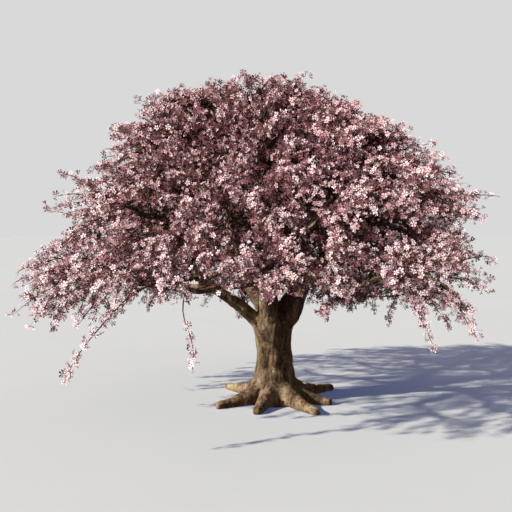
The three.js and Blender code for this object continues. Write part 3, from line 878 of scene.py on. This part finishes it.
# Lit and shaded copies of one petal pink, mixed by chance: the pale tints mostly fall on outer flowers, and the
# deep rose and wine ones mostly stand in for shade deeper in the crown.
PETAL_TINTS = [
    ("petals_blush", (0.77, 0.635, 0.65), "blossom_pale"),
    ("petals_shell", (0.71, 0.555, 0.57), "blossom_pale"),
    ("petals_pink", (0.62, 0.415, 0.43), "blossom_pink"),
    ("petals_rose", (0.40, 0.20, 0.215), "blossom_deep"),
    ("petals_wine_shade", (0.15, 0.055, 0.06), "blossom_deep"),
]
# Painted shade: the wine-tinted flowers, mostly deep in the crown, are drawn larger, with plain petals and without
# hearts, as dark filler for the shade there.
shade_fillers = tint == len(PETAL_TINTS) - 1
sizes[shade_fillers] *= SHADE_FILLER_SIZE
blossom = []
for i, (name, colour, slot) in enumerate(PETAL_TINTS):
    mine = tint == i
    shape = (PLAIN_PETAL, PLAIN_FACES) if name == "petals_wine_shade" else (PETAL, PETAL_FACES)
    arrays = petal_arrays(*flower_template(*shape), centres[mine], frames[mine], sizes[mine], cups[mine])
    blossom.append(add_piece(name, mesh_from(name, *arrays), petal_material(name, colour), False))
arrays = heart_arrays(points[cluster[~shade_fillers]], centres[~shade_fillers], frames[~shade_fillers], sizes[~shade_fillers])
heart_material = petal_material("hearts", (0.12, 0.014, 0.018))
blossom.append(add_piece("flower_hearts", mesh_from("flower_hearts", *arrays), heart_material, False))
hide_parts(*[name for name, *_ in masses])


# ---- floor and light ---------------------------------------------------------------------------------
def add_floor():
    bpy.ops.mesh.primitive_plane_add(size=240)
    floor = bpy.context.object
    floor.name = "floor"
    material, tree, shader = new_material("floor", 0.95)
    shader.inputs["Specular IOR Level"].default_value = 0.0
    # Painted light: the floor glows faintly blue, which tints its shadows blue, and its colour is yellowish to
    # offset that glow where the sun falls.
    colour = ramp_node(tree, noise_node(tree, 0.3), [(0.3, (0.79, 0.80, 0.69)), (0.7, (0.81, 0.82, 0.71))])
    tree.links.new(colour, shader.inputs["Base Color"])
    shader.inputs["Emission Color"].default_value = (0.0, 0.27, 1.0, 1)
    shader.inputs["Emission Strength"].default_value = 0.125
    floor.data.materials.append(material)
    floor.visible_diffuse = False
    return floor


def linked(name, pieces):
    collection = bpy.data.collections.new(name)
    for piece in pieces:
        collection.objects.link(piece)
    return collection


def add_light(name, sunward, energy, colour, softness, lit=None, shading=None):
    """Parallel light, on every piece and shaded by every piece unless those are given."""
    data = bpy.data.lights.new(name, "SUN")
    data.energy = energy
    data.color = colour
    data.angle = math.radians(softness)
    light = bpy.data.objects.new(name, data)
    light.rotation_euler = sunward.to_track_quat("Z", "Y").to_euler()
    bpy.context.scene.collection.objects.link(light)
    if lit:
        light.light_linking.receiver_collection = linked(name + "_lit", lit)
    if shading:
        light.light_linking.blocker_collection = linked(name + "_shading", shading)


def add_sky():
    """A plain pale backdrop, with soft light from above and less of it from below."""
    world = bpy.data.worlds.new("sky")
    world.use_nodes = True
    tree = world.node_tree
    fill = tree.nodes["Background"]
    coordinates = tree.nodes.new("ShaderNodeTexCoord")
    split = tree.nodes.new("ShaderNodeSeparateXYZ")
    tree.links.new(coordinates.outputs["Generated"], split.inputs["Vector"])
    level = tree.nodes.new("ShaderNodeMath")
    level.operation = "MULTIPLY_ADD"
    level.inputs[1].default_value = 0.5
    level.inputs[2].default_value = 0.5
    tree.links.new(split.outputs["Z"], level.inputs[0])
    glow = ramp_node(tree, level.outputs["Value"], [(0.4, (0.09, 0.07, 0.07)), (0.6, (0.185, 0.155, 0.165))])
    tree.links.new(glow, fill.inputs["Color"])
    shown = tree.nodes.new("ShaderNodeBackground")
    shown.inputs["Color"].default_value = (0.693, 0.693, 0.693, 1)
    path = tree.nodes.new("ShaderNodeLightPath")
    mix = tree.nodes.new("ShaderNodeMixShader")
    tree.links.new(path.outputs["Is Camera Ray"], mix.inputs["Fac"])
    tree.links.new(fill.outputs["Background"], mix.inputs[1])
    tree.links.new(shown.outputs["Background"], mix.inputs[2])
    tree.links.new(mix.outputs["Shader"], tree.nodes["World Output"].inputs["Surface"])
    bpy.context.scene.world = world


WARM = (1.0, 0.96, 0.93)
wood, crown = [trunk, bough_piece], blossom + [twig_piece]
add_light("sun", SUNWARD, 4.73, WARM, 1.2, [add_floor()] + wood, wood + [twig_piece] + blossom[:4])
add_light("blossom_sun", SUNWARD, 2.1, WARM, 1.2, crown)
add_light("blossom_light", heading_to(240, 12), 5.1, WARM, 2, crown)
add_light("back_light", heading_to(45, 9), 4.0, WARM, 3, crown + wood)
add_light("bark_light", heading_to(190, 28), 3.3, (1.0, 0.96, 0.9), 3, wood, wood)
add_sky()
bpy.context.scene.view_settings.view_transform = "Standard"
